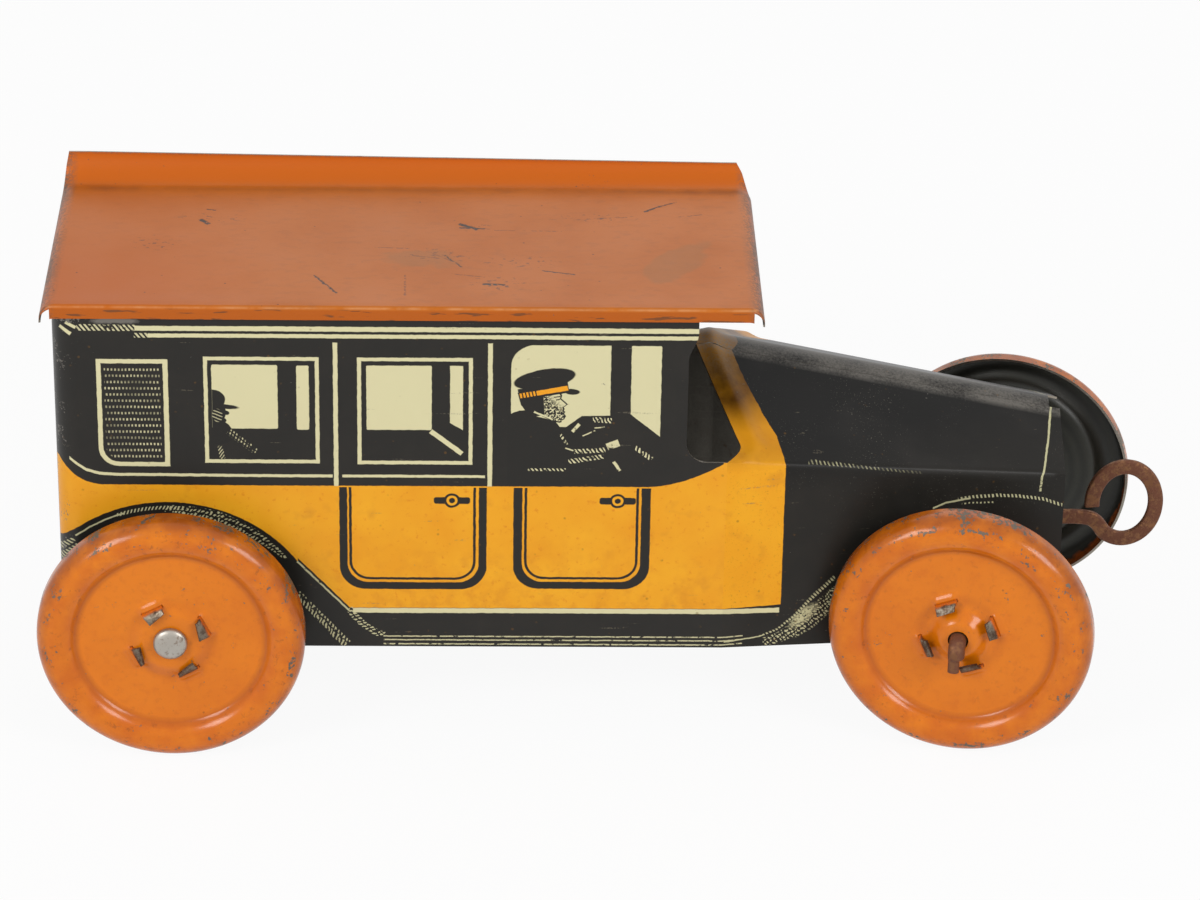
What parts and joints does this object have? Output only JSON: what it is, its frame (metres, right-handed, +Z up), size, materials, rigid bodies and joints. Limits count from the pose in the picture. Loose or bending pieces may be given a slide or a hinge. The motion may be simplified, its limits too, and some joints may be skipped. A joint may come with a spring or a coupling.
{
  "type": "toy taxi",
  "caption": "Tinplate clockwork toy taxi with a boxy cab, a gabled bonnet, dished disc wheels, a swivelling front axle and a winding key at the nose.",
  "frame": {"origin": "middle of the bounding box in plan, on the ground under the wheels", "axes": "+X to the front of the car, +Y to its left side, +Z up"},
  "size_m": [0.2721, 0.105, 0.1201],
  "materials": {
    "body_print": "printed enamel, worn gloss",
    "roof_paint": "worn enamel, satin",
    "black_paint": "printed enamel, gloss",
    "bare_tin": "dull tinplate",
    "motor_steel": "dull steel",
    "spring_steel": "blued",
    "gear_brass": "dull brass",
    "wheel_paint": "enamel, gloss",
    "hub_steel": "tarnished",
    "axle_steel": "dull steel",
    "rusted_steel": "rusted"
  },
  "bodies": {
    "shell": {"right_side": "body_print", "left_side": "body_print", "roof": "roof_paint", "nose_plate": "black_paint", "base_plate": "bare_tin", "motor_rear_plate": "motor_steel", "motor_front_plate": "motor_steel", "motor_pillars": "motor_steel", "shaft_hanger": "motor_steel", "bolster": "bare_tin", "click_rivet": "motor_steel", "click_spring": "spring_steel"},
    "winder": {"winding_arbor": "motor_steel", "winding_key": "rusted_steel", "ratchet_wheel": "motor_steel"},
    "click": {"click": "motor_steel"},
    "spring_wheel": {"great_wheel": "gear_brass", "spring_post": "motor_steel", "mainspring": "spring_steel"},
    "drive_shaft": {"drive_shaft": "motor_steel", "motor_pinion": "gear_brass", "axle_pinion": "gear_brass"},
    "rear_axle": {"rear_axle": "axle_steel", "crown_wheel": "gear_brass", "right_rear_wheel": "wheel_paint", "left_rear_wheel": "wheel_paint", "right_rear_hub": "hub_steel", "left_rear_hub": "hub_steel"},
    "front_axle": {"front_axle": "rusted_steel", "axle_yoke": "bare_tin", "steering_rivet": "motor_steel"},
    "right_front_wheel": {"right_front_wheel": "wheel_paint", "right_front_hub": "hub_steel"},
    "left_front_wheel": {"left_front_wheel": "wheel_paint", "left_front_hub": "hub_steel"}
  },
  "joints": [
    {"name": "rear_axle_spin", "type": "hinge", "parent": "shell", "child": "rear_axle", "pos_m": [-0.1043, 0, 0.03175], "axis": [0, 1, 0], "continuous": true},
    {"name": "drive_shaft_spin", "type": "hinge", "parent": "shell", "child": "drive_shaft", "pos_m": [-0.0443, 0.01697, 0.03175], "axis": [1, 0, 0], "continuous": true},
    {"name": "great_wheel_spin", "type": "hinge", "parent": "shell", "child": "spring_wheel", "pos_m": [-0.0103, 0, 0.0404], "axis": [1, 0, 0], "continuous": true},
    {"name": "winding_key_spin", "type": "hinge", "parent": "shell", "child": "winder", "pos_m": [0.0957, 0, 0.0404], "axis": [1, 0, 0], "continuous": true},
    {"name": "click_lift", "type": "hinge", "parent": "shell", "child": "click", "pos_m": [0.0197, -0.0055, 0.0489], "axis": [1, 0, 0], "range_deg": [0, 12], "stiffness_Nm_per_rad": 0.002},
    {"name": "front_axle_steer", "type": "hinge", "parent": "shell", "child": "front_axle", "pos_m": [0.0924, 0, 0.035], "axis": [0, 0, 1], "range_deg": [0, 24.4]},
    {"name": "right_front_wheel_spin", "type": "hinge", "parent": "front_axle", "child": "right_front_wheel", "pos_m": [0.0924, 0, 0.03175], "axis": [0.2113, 0.9774, 0], "continuous": true},
    {"name": "left_front_wheel_spin", "type": "hinge", "parent": "front_axle", "child": "left_front_wheel", "pos_m": [0.0924, 0, 0.03175], "axis": [0.2113, 0.9774, 0], "continuous": true}
  ],
  "couplings": [
    {"joint": "drive_shaft_spin", "follows": "rear_axle_spin", "ratio": 2},
    {"joint": "great_wheel_spin", "follows": "rear_axle_spin", "ratio": -0.625}
  ]
}
